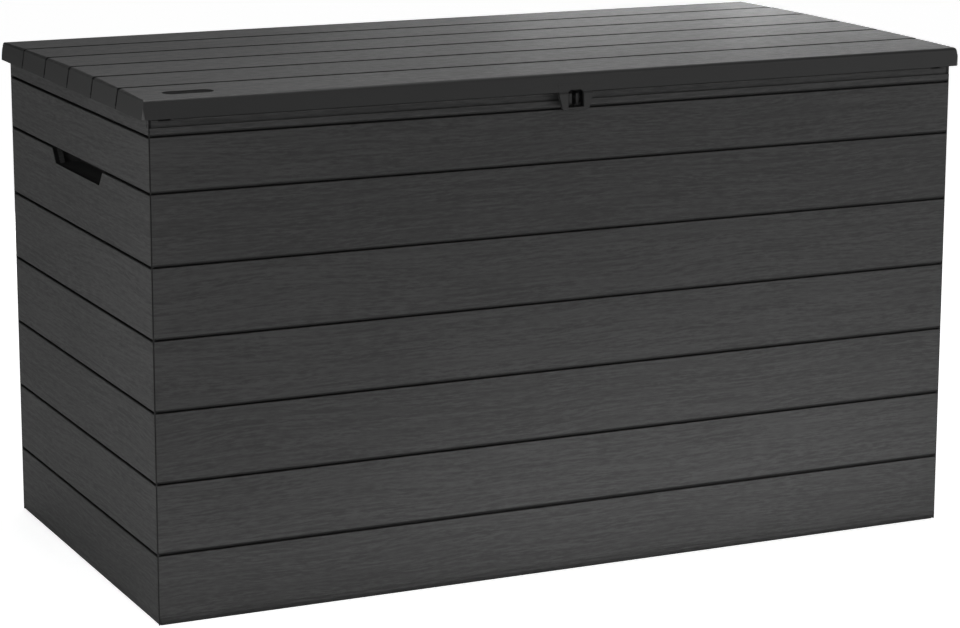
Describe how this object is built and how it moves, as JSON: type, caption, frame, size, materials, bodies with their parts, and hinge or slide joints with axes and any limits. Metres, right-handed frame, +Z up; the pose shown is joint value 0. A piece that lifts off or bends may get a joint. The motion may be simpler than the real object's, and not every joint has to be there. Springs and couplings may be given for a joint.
{
  "type": "deck storage box",
  "caption": "Large rectangular resin deck storage box with plank-look walls, a hinged crowned lid on gas struts, hand grips and a padlock staple.",
  "frame": {"origin": "on the ground, at the centre of the overall box in plan", "axes": "+X along the front to the right, +Y from the front to the back, +Z up"},
  "size_m": [1.406, 0.722, 0.804],
  "materials": {
    "resin_graphite": "moulded graphite resin with a fine brushed wood grain",
    "resin_dark": "moulded dark grey resin, smooth",
    "rubber_black": "matt black rubber",
    "steel_bright": "zinc-plated steel",
    "steel_coated": "dark powder-coated steel",
    "badge_black": "black plastic, satin, bare",
    "cylinder_black": "black enamelled tube"
  },
  "bodies": {
    "body": {"front_panel": "resin_graphite", "front_rim": "resin_graphite", "back_panel": "resin_graphite", "left_panel": "resin_graphite", "right_panel": "resin_graphite", "floor_left": "resin_dark", "floor_right": "resin_dark", "floor_beam": "resin_dark", "floor_feet": "rubber_black", "corner_post_front_left": "resin_dark", "corner_post_front_right": "resin_dark", "corner_post_back_left": "resin_dark", "corner_post_back_right": "resin_dark", "corner_screws": "steel_bright", "grip_cup_left": "resin_dark", "grip_cup_right": "resin_dark", "lock_case": "resin_dark", "lock_staple": "steel_coated", "hinge_base_left": "steel_coated", "hinge_base_middle": "steel_coated", "hinge_base_right": "steel_coated", "hinge_pin_left": "steel_bright", "hinge_pin_middle": "steel_bright", "hinge_pin_right": "steel_bright", "strut_foot_left": "steel_coated", "strut_foot_right": "steel_coated"},
    "lid": {"lid_cover": "resin_graphite", "lid_liner": "resin_dark", "lid_bar_front": "steel_bright", "lid_bar_middle": "steel_bright", "lid_bar_back": "steel_bright", "lid_bumpers": "rubber_black", "lock_hood": "resin_graphite", "badge_plate": "badge_black", "hinge_leaf_left": "steel_coated", "hinge_leaf_middle": "steel_coated", "hinge_leaf_right": "steel_coated", "strut_mount_left": "steel_coated", "strut_mount_right": "steel_coated"},
    "strut_left_tube": {"strut_cylinder_left": "cylinder_black"},
    "strut_left_shaft": {"strut_rod_left": "steel_bright"},
    "strut_right_tube": {"strut_cylinder_right": "cylinder_black"},
    "strut_right_shaft": {"strut_rod_right": "steel_bright"}
  },
  "joints": [
    {"name": "lid_hinge", "type": "hinge", "parent": "body", "child": "lid", "pos_m": [0, 0.355, 0.762], "axis": [-1, 0, 0], "range_deg": [0, 75]},
    {"name": "strut_left_swing", "type": "hinge", "parent": "body", "child": "strut_left_tube", "pos_m": [-0.661, 0.286, 0.585], "axis": [-1, 0, 0], "range_deg": [0, 31.2]},
    {"name": "strut_left_extend", "type": "slide", "parent": "strut_left_tube", "child": "strut_left_shaft", "axis": [0, -0.4213, 0.9069], "range_m": [0, 0.1275]},
    {"name": "strut_right_swing", "type": "hinge", "parent": "body", "child": "strut_right_tube", "pos_m": [0.661, 0.286, 0.585], "axis": [-1, 0, 0], "range_deg": [0, 31.2]},
    {"name": "strut_right_extend", "type": "slide", "parent": "strut_right_tube", "child": "strut_right_shaft", "axis": [0, -0.4213, 0.9069], "range_m": [0, 0.1275]}
  ],
  "couplings": [
    {"joint": "strut_left_swing", "follows": "lid_hinge", "ratio": 0.41342},
    {"joint": "strut_left_extend", "follows": "lid_hinge", "m_per_rad": 0.097317},
    {"joint": "strut_right_swing", "follows": "lid_hinge", "ratio": 0.41342},
    {"joint": "strut_right_extend", "follows": "lid_hinge", "m_per_rad": 0.097317}
  ]
}
